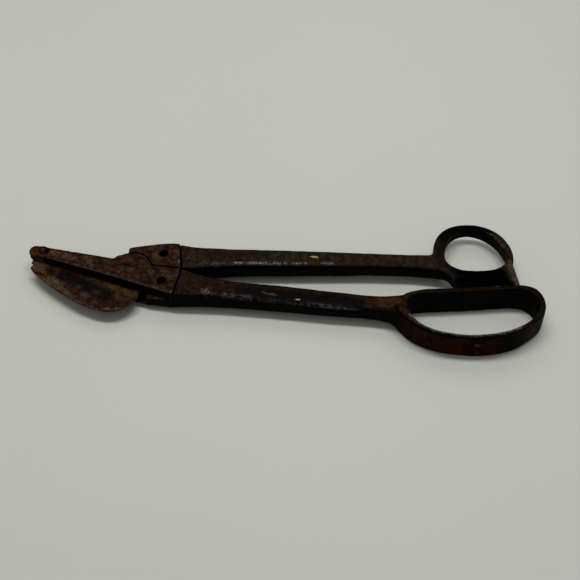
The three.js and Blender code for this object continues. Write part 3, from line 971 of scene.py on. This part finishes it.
def make_floor():
    """A pale floor that sweeps up into a far round wall."""
    # Each ring of the sweep is a radius and a height.
    rings = [(1.0, 0.0), (2.2, 0.0), (2.7, 0.08), (3.05, 0.35), (3.2, 0.9), (3.2, 2.4)]
    sides = 64
    points = [(0.0, 0.0, 0.0)]
    for radius, height in rings:
        for side in range(sides):
            angle = 2 * math.pi * side / sides
            points.append((radius * math.cos(angle), radius * math.sin(angle), height))
    faces = [(0, 1 + side, 1 + (side + 1) % sides) for side in range(sides)]
    for ring in range(len(rings) - 1):
        for side in range(sides):
            a = 1 + ring * sides + side
            b = 1 + ring * sides + (side + 1) % sides
            faces.append((a, a + sides, b + sides, b))
    mesh = bpy.data.meshes.new("floor")
    mesh.from_pydata(points, [], faces)
    mesh.shade_smooth()
    floor = bpy.data.objects.new("floor", mesh)
    bpy.context.scene.collection.objects.link(floor)
    t = Tree("pale_floor")
    tint = t.mix(t.noise(400, 2, 0.5), rgb(0.60, 0.605, 0.575), rgb(0.635, 0.635, 0.605))
    t.feed(t.shader.inputs["Base Color"], tint)
    t.shader.inputs["Roughness"].default_value = 0.7
    t.shader.inputs["Specular IOR Level"].default_value = 0.2
    mesh.materials.append(t.material)


def area_light(name, azimuth, elevation, distance, width, depth, watts, colour):
    """A rectangular lamp aimed at the tool; azimuth 0 is behind it, and its width runs along X."""
    a = math.radians(azimuth)
    e = math.radians(elevation)
    away = Vector((math.sin(a) * math.cos(e), math.cos(a) * math.cos(e), math.sin(e)))
    data = bpy.data.lights.new(name, "AREA")
    data.shape = "RECTANGLE"
    data.size = width
    data.size_y = depth
    data.energy = watts
    data.color = colour
    lamp = bpy.data.objects.new(name, data)
    lamp.location = away * distance
    lamp.rotation_euler = away.to_track_quat("Z", "Y").to_euler()
    bpy.context.scene.collection.objects.link(lamp)


def make_lights():
    """A long tube lamp over the tool, a window behind it and a soft room."""
    area_light("ceiling_tube", azimuth=0, elevation=84, distance=1.6, width=1.2, depth=0.2,
               watts=13.0, colour=(1.0, 0.99, 0.97))
    area_light("back_window", azimuth=0, elevation=52, distance=2.0, width=2.4, depth=0.9,
               watts=5.5, colour=(0.97, 1.0, 0.97))
    world = bpy.data.worlds.new("soft_room")
    world.use_nodes = True
    background = world.node_tree.nodes["Background"]
    background.inputs["Color"].default_value = rgb(0.95, 1.0, 0.93)
    background.inputs["Strength"].default_value = 0.34
    bpy.context.scene.world = world


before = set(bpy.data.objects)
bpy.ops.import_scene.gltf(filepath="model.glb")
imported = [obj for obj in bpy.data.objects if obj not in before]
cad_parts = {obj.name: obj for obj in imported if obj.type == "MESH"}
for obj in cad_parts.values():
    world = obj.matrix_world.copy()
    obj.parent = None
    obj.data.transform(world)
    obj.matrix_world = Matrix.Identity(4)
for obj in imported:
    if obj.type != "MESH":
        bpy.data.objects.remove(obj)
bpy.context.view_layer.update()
PIVOT = sum(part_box("pivot_rivet"), Vector()) / 2 / MM  # mm; its x and y are the pivot's

bpy.context.scene.view_settings.view_transform = "Standard"
make_camera()
make_floor()
make_lights()

SHADE_BLACK = shade_black("painted_shade_black")
BLADE = aged_steel(
    "aged_blade",
    ground=rgb(0.0165, 0.0062, 0.0036),
    light=rgb(0.037, 0.0185, 0.0100),
    stain=rgb(0.021, 0.0070, 0.0034),
    rubbed=rgb(0.050, 0.036, 0.030),
    gloss=0.5,
    flecks=0.22,
)
HANDLE_NEAR = aged_steel(
    "worn_paint_near",
    ground=rgb(0.0096, 0.0050, 0.0036),
    light=rgb(0.0190, 0.0094, 0.0050),
    stain=rgb(0.0190, 0.0068, 0.0030),
    rubbed=rgb(0.038, 0.031, 0.030),
    gloss=0.4,
    flecks=0.16,
)
HANDLE_FAR = aged_steel(
    "worn_paint_far",
    ground=rgb(0.0160, 0.0103, 0.0060),
    light=rgb(0.0230, 0.0150, 0.0078),
    stain=rgb(0.0225, 0.0118, 0.0048),
    rubbed=rgb(0.030, 0.024, 0.022),
    gloss=0.4,
    flecks=0.1,
)
RIVET = aged_steel(
    "dark_rivet",
    ground=rgb(0.0135, 0.0052, 0.0032),
    light=rgb(0.028, 0.0140, 0.0085),
    stain=rgb(0.018, 0.0060, 0.0032),
    rubbed=rgb(0.022, 0.0130, 0.0090),
    gloss=0.5,
    flecks=0.2,
)

build("straight_blade", "straight_half", BLADE, seed=11, voxel=0.5, rounding=0.5,
      dents=0.10, pits=0.12, regions=[arm_regions, hub_and_tail_regions], reshape=cut_groove)
build("belly_blade", "belly_half", BLADE, seed=31, voxel=0.5, rounding=0.5,
      dents=0.10, pits=0.14, regions=[leaf_regions, tang_regions])
build("finger_loop_handle", "straight_half", HANDLE_NEAR, seed=51, voxel=0.75,
      rounding=1.3, dents=0.22, pits=0.12, regions=[near_bar_regions, finger_loop_regions],
      reshape=close_seam)
build("thumb_loop_handle", "belly_half", HANDLE_FAR, seed=71, voxel=0.75,
      rounding=1.3, dents=0.22, pits=0.12, regions=[far_bar_regions, thumb_loop_regions],
      reshape=close_seam)
build("pivot_rivet", "straight_half", RIVET, seed=91, voxel=0.3, rounding=0.3,
      dents=0.06, pits=0.08, regions=[rivet_regions], reshape=spread_end)
build("pivot_washer", "straight_half", RIVET, seed=111, voxel=0.4, rounding=0.3,
      dents=0.04, pits=0.05, regions=[rivet_regions])
build("tip_rivet", "straight_half", RIVET, seed=131, voxel=0.25, rounding=0.25,
      dents=0.06, pits=0.08, regions=[tip_rivet_regions])
# The pins take the black that reflects nothing: painted shade of their deep holes.
build("finger_handle_pin", "straight_half", SHADE_BLACK, seed=151, voxel=0.3,
      rounding=0.25, dents=0.05, pits=0.06)
build("thumb_handle_pin", "belly_half", SHADE_BLACK, seed=171, voxel=0.3,
      rounding=0.25, dents=0.05, pits=0.06)
